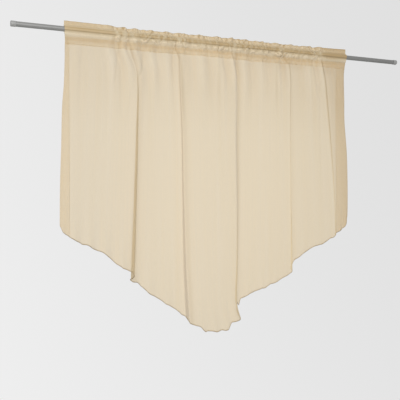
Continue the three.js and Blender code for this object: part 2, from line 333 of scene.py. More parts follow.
# main folds: place across, and how far back (+) or forward (-) the cloth stands beside each
foldDrops = [46, 115, 313, 530, 756, 890, 960]
# each fold's mark sets its painted shade line, and soft sets the painted shade after it
folds = [
    {
        "half": 4.0, "lean": 5.0, "swell": 4.0, "markAt": 4.0, "soft": 0.16, "mark": [0.2, 0, 0, 0, 0, 0, 0],
        "across": [-357, -334, -335, -341, -349, -355, -357],
        "before": [-2, -5, -11, -13, -18, -19, -20], "after": [2, 5, 10, 13, 18, 19, 20],
    },
    {
        "half": 2.8, "lean": 2.0, "swell": -5.0, "markAt": 1.0, "soft": 0.24,
        "across": [-190, -187, -178, -174, -168, -161, -158], "mark": [0.1, 0.05, 0.1, 0.1, 0.1, 0.1, 0.1],
        "before": [0, 3, 4, 6, 10, 13, 14], "after": [-2, -4, -5, -8, -12, -15, -16],
    },
    {
        "half": 9.0, "lean": 0.0, "swell": 5.0, "markAt": 3.0, "soft": 0.30,
        "across": [17, 27, 26, 29, 28, 25, 46], "mark": [0.1, -0.1, 0.1, 0.1, 0.1, 0.1, 0.1],
        "before": [-2, -6, -8, -12, -22, -28, -30], "after": [1, 8, 9, 12, 20, 23, 24],
    },
    {
        "half": 3.0, "lean": 2.0, "swell": -4.0, "markAt": 0.0, "soft": 0.10,
        "across": [238, 245, 246, 248, 252, 255, 256], "mark": [0.5, 0.8, 0.4, 0, -0.15, 0, 0],
        "before": [0, -2, -3, -4, -6, -6, -6], "after": [0, 2, 3, 4, 6, 6, 6],
    },
    {
        "half": 3.2, "lean": 2.4, "swell": 3.0, "markAt": -4.5, "soft": 0.10,
        "across": [387, 398, 419, 437, 446, 447, 448], "mark": [0.8, 0.6, 0.4, 0.05, 0.4, 0.5, 0.5],
        "before": [-4, -8, -8, -7, -6, -6, -6], "after": [-2, -1, 0, 0, 1, 1, 1],
    },
]
# shared by the folds: a painted shade line, soft painted shade after it and a painted highlight strip before
# it
foldShape = {
    "opens": (10, 60), "shoulder": 2.6, "steepness": 1.5, "leanShare": 0.2,
    "lineWidth": 0.9, "softAt": 8.0, "softHalf": 8.0, "paleAt": 9.0, "paleHalf": 3.5, "pale": 0.15,
}
leftEdge = {"stands": [0, 2, 0, -4, -8, -8, -8], "curl": 13.0, "reach": 13.0, "swell": 2.0}
rightEdge = {"stands": [0, 3, 6, 9, 12, 12, 12], "curl": 9.0, "reach": 12.0}


# lines that the cloth keeps to: its side edges and both shoulders of each fold
def anchorsAt(drop):
    lines = [sideAt("left", drop)]
    for fold in folds:
        at = along(foldDrops, fold["across"], drop)
        reach = foldShape["shoulder"] * fold["half"]
        lines += [at - reach, at + reach]
    lines.append(sideAt("right", drop))
    return np.array(lines)


rodAnchors = anchorsAt(np.array(curtain["turnInEnd"]))


# where a column hangs at a drop, from its place on the rod
def hungAt(place, drop):
    lines = anchorsAt(drop)
    k = np.clip(np.searchsorted(rodAnchors, place, side="right") - 1, 0, len(rodAnchors) - 2)
    share = (place - rodAnchors[k]) / (rodAnchors[k + 1] - rodAnchors[k])
    low = np.take_along_axis(lines, k[None], 0)[0]
    high = np.take_along_axis(lines, k[None] + 1, 0)[0]
    return low + share * (high - low)


# how tightly the heading is gathered: its ends lie nearly flat
gathering = {"least": 0.22, "grows": (-432, -392), "fades": (354, 384)}


def gathered(place):
    least = gathering["least"]
    return least + (1 - least) * ease(place, *gathering["grows"]) * (1 - ease(place, *gathering["fades"]))


# gathers from the heading: place, half width, how far back (+) or forward (-), run below the full drop
gathers = {
    "full": 60,
    "drops": [-28, -12.5, 0, 26, 46, 80],
    "share": [1, 0.35, 0, 0.45, 0.8, 0.85],
    "rows": [
        (-428, 13, -4, 130), (-404, 11, 7, 260), (-384, 9, -9, 150), (-364, 9, 8, 120), (-343, 10, -7, 100),
        (-318, 13, 5, 180), (-289, 12, -6, 220), (-262, 12, 6, 140), (-235, 12, -5, 240), (-206, 11, 8, 110),
        (-181, 11, -8, 130), (-148, 14, 6, 210), (-113, 14, -6, 160), (-80, 13, 7, 230), (-50, 12, -6, 150),
        (-20, 12, 8, 120), (4, 10, -9, 110), (27, 10, 7, 130), (54, 13, -6, 240), (90, 15, 5, 170),
        (122, 13, -5, 200), (154, 13, 6, 150), (187, 12, -7, 180), (215, 10, 9, 120), (240, 11, -8, 140),
        (281, 16, 5, 210), (319, 13, -6, 170), (348, 10, 9, 120), (371, 10, -8, 110),
    ],
}


def gatherAt(place, drop):
    out = np.zeros_like(place + drop)
    for at, half, size, run in gathers["rows"]:
        out += size * (1 - ease(drop, gathers["full"], run + gathers["full"])) * bell(place - at, half)
    return out


# fine ruffles of the heading: wavelength, size, phase
ruffles = {
    "rows": [(9.5, 0.55, 0.4), (13.7, 0.85, 2.1), (17.3, 0.80, 4.4), (23.0, 0.75, 1.2)],
    "drift": 0.9, "driftSpan": 7.3, "pocketShare": 0.25, "headerRise": 10, "fades": (40, 120),
}


def ruffleAt(place, drop):
    out = np.zeros_like(place)
    for wavelength, size, phase in ruffles["rows"]:
        drift = ruffles["drift"] * np.sin(2 * np.pi * place / (wavelength * ruffles["driftSpan"]) + phase)
        out += size * np.sin(2 * np.pi * place / wavelength + phase + drift)
    low = ruffles["pocketShare"]
    seam = -curtain["headerSeam"]
    header = low + (1 - low) * ease(-drop, seam, seam + ruffles["headerRise"])
    share = np.where(drop < 0, header, low) * (1 - ease(drop, *ruffles["fades"]))
    return share * (out * gathered(place))


# long faint streaks down the panel, drawn at random
streaks = {
    "seed": 7, "count": 56, "across": (-545, 465), "half": (4.0, 9.0), "out": (0.7, 1.9),
    "run": (120.0, 420.0), "starts": (30, 70), "full": 0.35,
}
draws = np.random.default_rng(streaks["seed"])
streakRows = [
    (
        draws.uniform(*streaks["across"]),
        draws.uniform(*streaks["half"]),
        draws.uniform(*streaks["out"]) * draws.choice([-1, 1]),
        draws.uniform(*streaks["run"]),
    )
    for row in range(streaks["count"])
]


def streakAt(place, drop):
    out = np.zeros_like(place)
    for at, half, size, run in streakRows:
        fade = ease(drop, *streaks["starts"]) * (1 - ease(drop, run * streaks["full"], run))
        out += size * fade * bell(place - at, half)
    return out


# small crumples, drawn at random: seed, count, ranges of drop, half width, half height and how far out
crumples = {
    "header": (21, 170, (-27, -11), (1.8, 4.5), (4, 9), (-2.2, 2.2)),
    "pocket": (22, 150, (-8, 7), (1.5, 3.6), (4, 9), (0.2, 1.8)),
    "pucker": (23, 190, (8, 20), (2, 4.6), (3, 6), (0.4, 3.4)),
    "pleat": (25, 90, (-22, 16), (1.7, 3.0), (7, 18), (-1.1, 1.1)),
    "band": (24, 120, (24, 60), (2, 5), (6, 16), (-0.9, 0.9)),
}
crumpleAcross = (-460, 408)
crumpleSlant = (-0.8, 0.8)
crumpleTable = {
    name: drawRows(seed, count, [crumpleAcross, drop, half, tall, crumpleSlant, out])
    for name, (seed, count, drop, half, tall, out) in crumples.items()
}


def crumpleAt(name, place, drop):
    return spotsAt(crumpleTable[name], place, drop) * gathered(place)


# softer creases: three drops, places across there, half width, how far back (+), how strongly painted shade
# darkens it (+) or painted highlight pales it (-)
creases = [
    ([17, 90, 170], [-392, -402, -409], 4.0, 3.0, 0.2),
    ([50, 100, 140], [-312, -315, -330], 4.0, 4.0, 0.3),
    ([50, 130, 230], [188, 190, 192], 7.0, 2.5, 0.3),
    ([50, 150, 300], [-515, -520, -524], 6.0, 1.8, 0.1),
    ([55, 200, 420], [330, 341, 350], 6.0, 2.0, 0.1),
    ([120, 300, 600], [366, 368, 380], 5.0, 1.5, 0.12),
    ([8, 60, 115], [-366, -350, -331], 6.0, 2.0, 0.34),
    ([40, 90, 130], [-369, -353, -345], 6.0, -2.0, -0.2),
    ([30, 150, 320], [-190, -178, -172], 6.0, 0.5, 0.24),
    ([50, 140, 220], [-44, -43, -42], 10.0, 3.0, 0.16),
    ([6, 30, 60], [-206, -198, -189], 3.0, 2.2, 0.6),
    ([10, 30, 60], [4, 10, 18], 3.5, 2.2, 0.55),
    ([14, 28, 46], [212, 224, 238], 3.0, 2.0, 0.4),
    ([12, 32, 50], [373, 380, 387], 3.0, 2.0, 0.5),
]
# how the softer creases begin and end; their painted shade is narrower than their hollow
creaseEnds = {"start": 15, "end": 20, "narrow": 1.6}


def creaseAt(across, drop):
    out = np.zeros_like(across)
    mark = np.zeros_like(across)
    for drops, places, half, size, dark in creases:
        top, middle, end = drops
        u = (across - along(drops, places, drop)) / half
        fade = ease(drop, top - creaseEnds["start"], top + creaseEnds["start"])
        fade = fade * (1 - ease(drop, middle, end + creaseEnds["end"]))
        out += size * fade * np.exp(-u * u)
        # painted shade along the crease, or painted highlight where the dark value is negative
        mark += dark * fade * np.exp(-((creaseEnds["narrow"] * u) ** 2))
    return out, mark


# uneven scallops of the lower edge: ranges of place, half width and how far down
scallops = {"seed": 31, "count": 80, "ranges": [(-560, 470), (4.0, 11.0), (-3.2, 3.2)]}
scallopTable = drawRows(**scallops)


def scallopAt(place):
    return sum(size * bell(place - at, half) for at, half, size in scallopTable)


def hemDropAt(place):
    hem = np.full_like(place, curtain["hemStart"])
    for turn in range(curtain["hemPasses"]):
        hem = np.interp(hungAt(place, hem), hemAcross, hemDrop)
    return hem + scallopAt(place)


# slow waves of the cloth just above the hem
hemRipple = {"size": 3.2, "wave": (47 / (2 * math.pi), 1.1, 83), "reach": 45}


def rippleAt(place, above):
    return hemRipple["size"] * wander(place, *hemRipple["wave"]) * np.exp(-above / hemRipple["reach"])


def foldsAt(key, drop):
    return [along(foldDrops, fold[key], drop) for fold in folds]


# how far back each panel stands, with the folds' lines and the step at each
def panelsAt(across, drop, left, right):
    starts = [left] + foldsAt("across", drop)
    ends = starts[1:] + [right]
    leaving = [along(foldDrops, leftEdge["stands"], drop)] + foldsAt("after", drop)
    reaching = foldsAt("before", drop) + [along(foldDrops, rightEdge["stands"], drop)]
    swells = [leftEdge["swell"]] + [fold["swell"] for fold in folds]
    panels = []
    for start, end, low, high, swell in zip(starts, ends, leaving, reaching, swells):
        share = (across - start) / (end - start)
        bow = np.clip(share, 0, 1)
        bow = 4 * bow * (1 - bow)  # 1 in the middle of the panel
        panels.append(low + share * (high - low) + swell * bow)
    steps = [np.abs(after - before) for after, before in zip(leaving[1:], reaching)]
    return panels, starts[1:], steps


def foldShadeMark(fold, aside, drop):
    # painted shade line and soft painted shade, less a painted highlight strip
    line = along(foldDrops, fold["mark"], drop) * bell(aside, foldShape["lineWidth"] * fold["half"])
    beside = fold["soft"] * bell(aside - foldShape["softAt"], foldShape["softHalf"])
    pale = foldShape["pale"] * bell(aside + foldShape["paleAt"], foldShape["paleHalf"])
    return line + beside - pale


# drops where each part's crumples end
wrinkleEnds = {"header": -8.5, "pleat": 46, "band": 90}


def wrinkleAt(place, drop):
    first = np.min(drop)
    out = np.zeros_like(place)
    for name in ("header" if first < wrinkleEnds["header"] else "band", "pleat"):
        if first < wrinkleEnds[name]:
            out = out + crumpleAt(name, place, drop)
    return out


# the cloth's middle surface, with the painted shade (+) or painted highlight (-) there
def middleAt(place, drop, hem):
    across = hungAt(place, drop)
    left = sideAt("left", drop)
    right = sideAt("right", drop)
    free = ease(drop, *foldShape["opens"])
    panels, lines, steps = panelsAt(across, drop, left, right)
    x = across.copy()
    stand = panels[0]
    mark = np.zeros_like(across)
    for k, fold in enumerate(folds):
        u = (across - lines[k]) / fold["half"]
        lean = np.minimum(fold["lean"], foldShape["leanShare"] * steps[k])
        turned = 0.5 * (1 + np.tanh(foldShape["steepness"] * u))
        stand = stand + (panels[k + 1] - panels[k]) * turned
        x -= free * lean * u * np.exp(0.5 * (1 - u * u))  # most at the shoulders
        mark += free * foldShadeMark(fold, across - lines[k] - fold["markAt"], drop)
    stand = stand + leftEdge["curl"] * np.exp(-(across - left) / leftEdge["reach"])
    stand = stand + rightEdge["curl"] * np.exp((across - right) / rightEdge["reach"])
    share = along(gathers["drops"], gathers["share"], drop)
    soft, creaseShadeMark = creaseAt(across, drop)
    y = free * stand + share * gatherAt(place, drop) + soft + streakAt(place, drop)
    y = y + wrinkleAt(place, drop) + ruffleAt(place, drop) + rippleAt(place, hem - drop)
    return x, y, mark + creaseShadeMark


# a point this far behind (+) or before (-) the middle surface
def clothPoint(place, drop, offset, hem):
    x, y, mark = middleAt(place, drop, hem)
    nextX, nextY = middleAt(place + curtain["probe"], drop, hem)[:2]
    lastX, lastY = middleAt(place - curtain["probe"], drop, hem)[:2]
    runX = nextX - lastX
    runY = nextY - lastY
    size = np.hypot(runX, runY)
    return np.stack([x - runY / size * offset, y + runX / size * offset, -drop], -1), mark


# the pocket round the rod: half its depth at each drop, and the drops of its rows
pocket = {
    "drop": [-12.5, -9, -4, 0, 4, 6.5, 8.5, 11, 13, 16, 19, 22],
    "half": [0.55, 6.4, 9.4, 10.0, 9.3, 7.4, 6.2, 5.6, 5.4, 4.6, 2.7, 0.9],
    "thins": [(7, 11), (6, 10)],  # drops over which the back and front layers grow thinner
    "rows": [
        22, 20.5, 19, 17.5, 16, 14.5, 13, 11.5, 10, 8.4, 6.8, 5.6, 4.8, 4, 3.2,
        1.6, -1, -3.2, -4.2, -5, -5.8, -7.2, -9, -10.8, -12.5,
    ],
}


def pocketHalfAt(place, drop):
    half = np.interp(drop, pocket["drop"], pocket["half"])
    return half + crumpleAt("pocket", place, drop) + crumpleAt("pucker", place, drop)


# rows of the heading, and the painted shade and painted highlight of its wrinkles
heading = {
    # back and front layers, by what they hide
    "layers": {"header": ("back", "header"), "band": ("tucked", "panel"), "pocket": ("tucked", "pucker")},
    "inset": 1.5, "backStart": 2.0, "tuckRows": 6, "bandRows": 7,
    "headerRows": 7, "headerShares": (0.12, 0.97),
    "turn": [(0.4, 0.12), (0.0, 0.5), (0.4, 0.88)],  # height over the fold, share of the layers' gap
    "frill": 0.9, "frillWave": (4.7, 1.2, 23),
    "shade": 0.65, "bandShade": 0.35, "bunchShade": 0.35,
    # painted shade along the header's top fold
    "edgeShade": 0.5, "edgeShares": (0.84, 1.0),
    # painted shade in the hollows of the wrinkles
    # columns to each side over which the wrinkles are levelled
    "hollowColumns": 7, "hollowDepth": 1.1, "hollowShade": 0.28,
}


# rows of the heading along the cloth: tucked edge, turn, back layer, top edge, front layer
def headingRows():
    gap = curtain["layerGap"]
    headerGap = curtain["headerGap"]
    low = curtain["turnInEnd"]
    top = curtain["turnInTop"] + heading["inset"]
    header = np.linspace(*heading["headerShares"], heading["headerRows"])
    tuck = np.linspace(top, low - heading["inset"], heading["tuckRows"])
    back = np.linspace(low - heading["backStart"], top, heading["bandRows"])
    front = np.linspace(top, low, heading["bandRows"])
    rows = [("band", drop, 0.0) for drop in tuck]
    rows += [("band", low - height, share * gap) for height, share in heading["turn"]]
    rows += [("band", drop, gap) for drop in back]
    rows += [("pocket", drop, 1.0) for drop in pocket["rows"]]
    rows += [("header", share, headerGap) for share in header]
    rows += [("header", 1.0, 0.0)]
    rows += [("header", share, -headerGap) for share in header[::-1]]
    rows += [("pocket", drop, -1.0) for drop in pocket["rows"][::-1]]
    rows += [("band", drop, -gap) for drop in front]
    return rows


# bunches that hide the rod's painted shadow and are painted paler: place on it, half width
bunches = [(-403, 8), (-378, 9), (-352, 9), (-190, 8), (15, 8), (207, 7), (346, 7), (369, 8)]


def bunchAt(place):
    return np.max([bell(place - at, half) for at, half in bunches], axis=0)


# painted shadow of the rod on the pocket, darkest along its two edges: strength, drop, half height
rodShadow = {
    "core": (0.3, -0.8, 6.6),
    "edges": [(0.3, 3, 2.6), (0.25, -4.5, 3)],
    "lines": [(0.9, 4, 1.4), (0.55, -5, 0)],  # strength, drop, how much wider at the right end
    "lineHalf": 1.2, "widens": (372, 392),
    "hidden": 0.9, "lineHidden": 0.95,  # shares that a bunch hides
    "right": (1.2, 1200),  # strength at the middle, and how far along it grows by one
    "uneven": 0.3, "unevenWave": (17, 2, 41),
}


def rodShade(place, drop):
    size, level, half = rodShadow["core"]
    core = size * np.exp(-(((drop - level) / half) ** 4))
    edges = sum(size * bell(drop - level, half) for size, level, half in rodShadow["edges"])
    middle, reach = rodShadow["right"]
    return (core + edges) * (1 - rodShadow["hidden"] * bunchAt(place)) * (middle + place / reach)


# painted shadow lines along the rod's two edges
def rodShadowLines(place, drop):
    mark = 0
    for size, level, wider in rodShadow["lines"]:
        half = rodShadow["lineHalf"] + wider * ease(place, *rodShadow["widens"])
        mark = mark + size * bell(drop - level, half)
    uneven = rodShadow["uneven"] * gathered(place) * (1 - wander(place, *rodShadow["unevenWave"]))
    return mark * (1 - rodShadow["lineHidden"] * bunchAt(place)) * (1 - uneven)


# how far in a hollow (+) or on a crest (-) of the heading's wrinkles, for painted shade in hollows and
# painted highlight on crests
def hollowAt(kind, place, drop):
    pleat = crumpleAt("pleat", place, drop)
    if kind == "pocket":
        out = pleat - crumpleAt("pocket", place, drop) - crumpleAt("pucker", place, drop)
    else:
        out = crumpleAt(kind, place, drop) + pleat
    reach = heading["hollowColumns"]
    count = 2 * reach + 1
    level = np.convolve(np.pad(out, reach, mode="edge"), np.full(count, 1 / count), mode="valid")
    return np.tanh((out - level) / heading["hollowDepth"])


def headingVeil(kind, front, drop):
    veil = voileLook["veil"]
    layer = veil[heading["layers"][kind][front]]
    above = veil["pocket"] if kind == "pocket" else layer
    return np.interp(drop, pocket["thins"][front], [above, layer])


# the header's top edge, frilled where it is gathered
def headerTopAt(place):
    tops = -along(curtain["headerAcross"], curtain["headerTop"], place)
    return tops - heading["frill"] * gathered(place) * wander(place, *heading["frillWave"])


def headingGrid(place):
    hem = hemDropAt(place)
    seam = curtain["headerSeam"]
    tops = headerTopAt(place)
    bunch = heading["bunchShade"] * bunchAt(place)
    rows = []
    for kind, level, offset in headingRows():
        front = offset < 0
        drop = np.full_like(place, level)
        if kind == "header":
            drop = seam + level * (tops - seam)
        if kind == "pocket":
            offset = offset * pocketHalfAt(place, drop)
        point, mark = clothPoint(place, drop, offset, hem)
        hollow = hollowAt(kind, place, drop)
        # painted shade in hollows and painted highlight on crests, paler at bunches
        shade = hollow * (heading["bandShade"] if kind == "band" else heading["shade"] + bunch)
        if kind != "header":
            shade = shade - bunch
        if kind == "pocket":
            # painted shadow of the rod on the pocket
            mark = mark + rodShadowLines(place, drop)
            shade = shade + rodShade(place, drop)
        if kind == "header":
            mark = mark + heading["edgeShade"] * ease(level, *heading["edgeShares"])
        mark = mark + heading["hollowShade"] * np.maximum(hollow, 0)
        rows.append((point, mark, shade, headingVeil(kind, front, drop)))
    return [np.array(part) for part in zip(*rows)]


# how far the front layer still stands before the middle
def settleAt(drop):
    low = curtain["turnInEnd"]
    return -curtain["layerGap"] * (1 - ease(drop, low, low + curtain["settle"]))


def panelGrid(place):
    hem = hemDropAt(place)
    start = curtain["turnInEnd"] + curtain["panelGap"]
    shares = np.linspace(0, 1, curtain["panelRows"])[:, None]
    drop = start + shares * (hem - start)
    places = np.broadcast_to(place, drop.shape)
    hems = np.broadcast_to(hem, drop.shape)
    return clothPoint(places, drop, settleAt(drop), hems)


# the lower edge rolled to the back: degrees round the roll, and how strongly painted shade darkens it
hemRoll = {"radius": 1.4, "angles": [50, 100, 150, 200, 250, 300, 335], "mark": 0.9}


def hemRollGrid(place):
    hem = hemDropAt(place)
    radius = hemRoll["radius"]
    rows = []
    for angle in np.radians(hemRoll["angles"]):
        offset = radius - radius * np.cos(angle)
        point, mark = clothPoint(place, hem, offset, hem)
        point[:, 2] -= radius * np.sin(angle)
        rows.append((point, mark + hemRoll["mark"]))
    return [np.array(part) for part in zip(*rows)]


# columns are close together at the folds
def columnPlaces():
    places = [rodAnchors[0]]
    for k in range(len(rodAnchors) - 1):
        width = rodAnchors[k + 1] - rodAnchors[k]
        count = curtain["foldColumns"] if k % 2 else round(width / curtain["columnStep"])
        places += list(rodAnchors[k] + width * np.arange(1, count + 1) / count)
    return np.array(places)


# how densely the cloth is gathered, with painted shade (+) and painted highlight (-): by drop, past the last
# fold and in spots
massAndShading = {
    "drops": [-30, -26, -22, -13, -9, 5, 7, 10, 17, 20, 22.5, 32, 35, 45, 47, 150, 300],
    "share": [
        0.9, 0.7, 0.25, 0.2, 0.2, 0.2, -0.25, -0.75, -0.9, -0.45, 0.8, 0.8, 0.26, 0.16, 0.34, 0.32, 0.1,
    ],
    "pastFold": 4,
    "rightPanel": [(0.34, 0, 14), (0.16, 20, 50)],  # share, where it begins, where it is full
    "gatherShade": 0.26, "gatherDepth": 8,
    # spots of painted shade (+) or painted highlight (-)
    "patches": [
        (-545, 22, 25, 9, 0, -0.25), (-510, -18, 60, 4, 0, 0.3), (-510, -4.5, 60, 2.5, 0, 0.45),
        (-470, 41, 60, 5, 0, -0.22), (-412, 75, 12, 25, 0, -0.3), (-290, -11, 150, 3, 0, -0.3),
        (-275, 75, 25, 25, 0, -0.3), (-235, 20, 130, 6, 0, -0.35), (250, 45, 110, 18, 0, 0.38),
        (400, -22, 25, 6, 0, 0.45), (410, 12, 48, 6, 0, 0.85), (405, 55, 25, 20, 0, 0.3),
    ],
}


def massAndShadeAt(points):
    across = points[:, 0]
    drop = -points[:, 2]
    share = np.interp(drop, massAndShading["drops"], massAndShading["share"])
    lastFold = along(foldDrops, folds[-1]["across"], drop) + massAndShading["pastFold"]
    for size, near, far in massAndShading["rightPanel"]:
        share = share + size * ease(across, lastFold + near, lastFold + far)
    return share + spotsAt(massAndShading["patches"], across, drop)


# a new smooth piece from points in millimetres
def newPiece(name, points, faces, material):
    mesh = bpy.data.meshes.new(name)
    mesh.from_pydata((points * mm).tolist(), [], faces)
    mesh.polygons.foreach_set("use_smooth", [True] * len(mesh.polygons))
    mesh.materials.append(material)
    piece = bpy.data.objects.new(name, mesh)
    bpy.context.collection.objects.link(piece)
    return piece


# gathers blocks of points into one mesh
class SheetMesh:
    def __init__(self):
        self.parts = [[], [], [], [], []]  # points, marks, veils, shades, uvs
        self.faces = []
        self.count = 0

    def block(self, points, marks, acrossUv, downUv, veils, shades=0.0):
        size = points.shape[:2]
        grid = self.count + np.arange(size[0] * size[1]).reshape(size)
        self.count += grid.size
        uvs = np.stack([np.broadcast_to(acrossUv, size), downUv], -1)
        veils = np.broadcast_to(veils, size)
        shades = np.broadcast_to(shades, size)
        for part, values in zip(self.parts, (points, marks, veils, shades, uvs)):
            part.append(values.reshape(-1, *values.shape[2:]))
        return grid

    def quads(self, grid):
        corners = [grid[:-1, :-1], grid[1:, :-1], grid[1:, 1:], grid[:-1, 1:]]
        self.faces += np.stack(corners, -1).reshape(-1, 4).tolist()

    # a row with two columns for each column of the row below it
    def join(self, fine, coarse):
        for j in range(len(coarse) - 1):
            left, middle, right = fine[2 * j: 2 * j + 3].tolist()
            a, b = coarse[j: j + 2].tolist()
            self.faces += [[left, a, middle], [middle, a, b], [middle, b, right]]

    def build(self, name, material):
        points, marks, veils, shades, uvs = (np.concatenate(part) for part in self.parts)
        piece = newPiece(name, points, self.faces, material)
        mesh = piece.data
        loops = np.zeros(len(mesh.loops), int)
        mesh.loops.foreach_get("vertex_index", loops)
        mesh.uv_layers.new(name="cloth").data.foreach_set("uv", uvs[loops].reshape(-1))
        # negative marks are painted highlight, added to the painted shade and denser cloth
        denseAndShade = massAndShadeAt(points) + shades + np.minimum(marks, 0)
        marked = {"creaseShade": np.clip(marks, 0, 1), "denseAndShade": np.clip(denseAndShade, -1, 1), "veil": veils}
        for key, values in marked.items():
            mesh.attributes.new(key, "FLOAT", "POINT").data.foreach_set("value", values)
        mesh.update()
        return piece


# length along each column, for the weave
def runDown(points, start):
    steps = np.linalg.norm(np.diff(points, axis=0), axis=2)
    length = np.vstack([np.zeros(points.shape[1]), np.cumsum(steps, axis=0)])
    return (start + length) * mm / voileLook["uvMetres"], start + length[-1].mean()


uvMargin = 40  # room for the side hem left of the edge


def acrossUv(place):
    return (place - rodAnchors[0] + uvMargin) * curtain["fullness"] * mm / voileLook["uvMetres"]


def makeCurtain():
    sheet = SheetMesh()
    place = columnPlaces()
    fine = np.interp(np.arange(2 * len(place) - 1) / 2, np.arange(len(place)), place)
    headPoints, headMarks, shades, veils = headingGrid(fine)
    headDown, reached = runDown(headPoints, 0)
    head = sheet.block(headPoints, headMarks, acrossUv(fine), headDown, veils, shades)
    sheet.quads(head)
    points, marks = (np.concatenate(parts) for parts in zip(panelGrid(place), hemRollGrid(place)))
    panelDown = runDown(points, reached + curtain["panelGap"])[0]
    across = (place - rodAnchors[0]) / (rodAnchors[-1] - rodAnchors[0])
    veils = voileLook["veil"]["panel"] + voileLook["veil"]["right"] * across
    # painted shade in the gathers' hollows and painted highlight where they come forward
    shades = massAndShading["gatherShade"] * np.tanh(gatherAt(place, -points[:, :, 2]) / massAndShading["gatherDepth"])
    panel = sheet.block(points, marks, acrossUv(place), panelDown, veils, shades)
    sheet.quads(panel)
    sheet.join(head[-1], panel[0])
    addSideHem(sheet, panel, panelDown, "left")
    addSideHem(sheet, panel, panelDown, "right")
    return sheet.build("curtain_sheet", finishes["voile"])


# place on the rod of a line that hangs this far across, near a side edge
def placeOf(across, drop, side):
    lines = anchorsAt(drop)
    k = 0 if side == "left" else len(rodAnchors) - 2
    share = (across - lines[k]) / (lines[k + 1] - lines[k])
    return rodAnchors[k] + np.clip(share, 0, 1) * (rodAnchors[k + 1] - rodAnchors[k])


# the side edge turned to the back, from the edge to its hem line
sideHem = {
    "edgeShares": [0.0, 0.01], "edgeOffsets": [0.45, 0.85], "columns": 9, "firstShare": 0.06,
    "topDrops": [38.0, 44.0], "hemClear": 2, "lift": 2.4, "liftEnds": (44, 60), "outward": 0.4,
}


# where a column hangs between the edge and its hem line
def hemmedAt(shares, drop, side):
    edge = anchorsAt(drop)[0 if side == "left" else -1]
    return edge + shares * (curtain["sideHemLines"][side] - edge)


def addSideHem(sheet, panel, panelDown, side):
    gap = curtain["layerGap"]
    rows = curtain["panelRows"]
    start = curtain["turnInEnd"] + curtain["panelGap"]
    shares = np.array([*sideHem["edgeShares"], *np.linspace(sideHem["firstShare"], 1, sideHem["columns"])])
    end = np.full_like(shares, curtain["sideHemStart"])
    for turn in range(curtain["hemPasses"]):
        end = np.interp(hemmedAt(shares, end, side), hemAcross, hemDrop)
    down = start + np.linspace(0, 1, rows)[:, None] * (end - sideHem["hemClear"] - start)
    drop = np.concatenate([np.full((1, len(shares)), level) for level in sideHem["topDrops"]] + [down])
    place = placeOf(hemmedAt(shares, drop, side), drop, side)
    offsets = np.array([share * gap for share in sideHem["edgeOffsets"]] + [gap] * sideHem["columns"])
    lift = sideHem["lift"] * gap * (1 - ease(drop, *sideHem["liftEnds"]))
    points, marks = clothPoint(place, drop, offsets + settleAt(drop) + lift, hemDropAt(place))
    points[:, 0, 0] += sideHem["outward"] * (-1 if side == "left" else 1)
    order = slice(None, None, -1 if side == "left" else 1)
    points, marks, place = points[:, order], marks[:, order], place[:, order]
    edge = rodAnchors[0] if side == "left" else rodAnchors[-1]
    above = len(sideHem["topDrops"])
    uvDown = np.concatenate([panelDown[:1, :1]] * above + [panelDown[:rows, :1]])
    uvDown = np.broadcast_to(uvDown, place.shape)
    grid = sheet.block(points, marks, acrossUv(2 * edge - place), uvDown, voileLook["veil"]["side"])
    sheet.quads(grid)
    if side == "left":
        sheet.quads(np.hstack([grid[above:, -1:], panel[:rows, :1]]))
    else:
        sheet.quads(np.hstack([panel[:rows, -1:], grid[above:, :1]]))


curtainSheet = makeCurtain()
print("curtain made:", len(curtainSheet.data.polygons), "faces")


def setMode(mode):
    bpy.ops.object.mode_set(mode=mode)


def clearSelection():
    bpy.ops.object.select_all(action="DESELECT")


# a cylinder along X from one place to another
def addBar(name, sides, radius, start, end, ends="NGON"):
    clearSelection()
    bpy.ops.mesh.primitive_cylinder_add(
        vertices=sides, radius=radius, depth=abs(end - start), end_fill_type=ends,
        rotation=(0, math.radians(90), 0), location=((start + end) / 2, 0, 0),
    )
    piece = bpy.context.object
    piece.name = piece.data.name = name
    bpy.ops.object.transform_apply()
    return piece


def finishMetal(piece, sizes, material):
    soften = piece.modifiers.new("soften", "BEVEL")
    soften.width = sizes["soften"] * mm
    soften.segments = 2
    soften.angle_limit = math.radians(sizes["sharp"])
    for modifier in list(piece.modifiers):
        bpy.ops.object.modifier_apply(modifier=modifier.name)
    bpy.ops.object.shade_smooth_by_angle(angle=math.radians(sizes["smooth"]))
    piece.data.materials.append(material)


# rod: a tube with softened ends, at the frame's own size; angles in degrees
rodSizes = {"sides": 64, "thick": 1.2, "soften": 0.25, "sharp": 40, "smooth": 35}


def makeRod(sizes):
    low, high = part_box("rod")
    radius = (high[2] - low[2]) / 2
    piece = addBar("curtain_rod", sizes["sides"], radius, low[0], high[0], "NOTHING")
    tube = piece.modifiers.new("tube", "SOLIDIFY")
    tube.thickness = sizes["thick"] * mm
    tube.offset = -1
    tube.use_even_offset = True
    finishMetal(piece, sizes, finishes["rod"])
    return piece


# caps: a turned plug with a chamfered outer end
capSizes = {
    "sides": 48, "chamfer": 1.2, "plug": 16.0, "plugFit": 0.3, "soften": 0.2, "sharp": 50, "smooth": 35,
}


def selectFaces(piece, test):
    setMode("OBJECT")
    for face in piece.data.polygons:
        face.select = bool(test(face))
    for edge in piece.data.edges:
        edge.select = False
    setMode("EDIT")


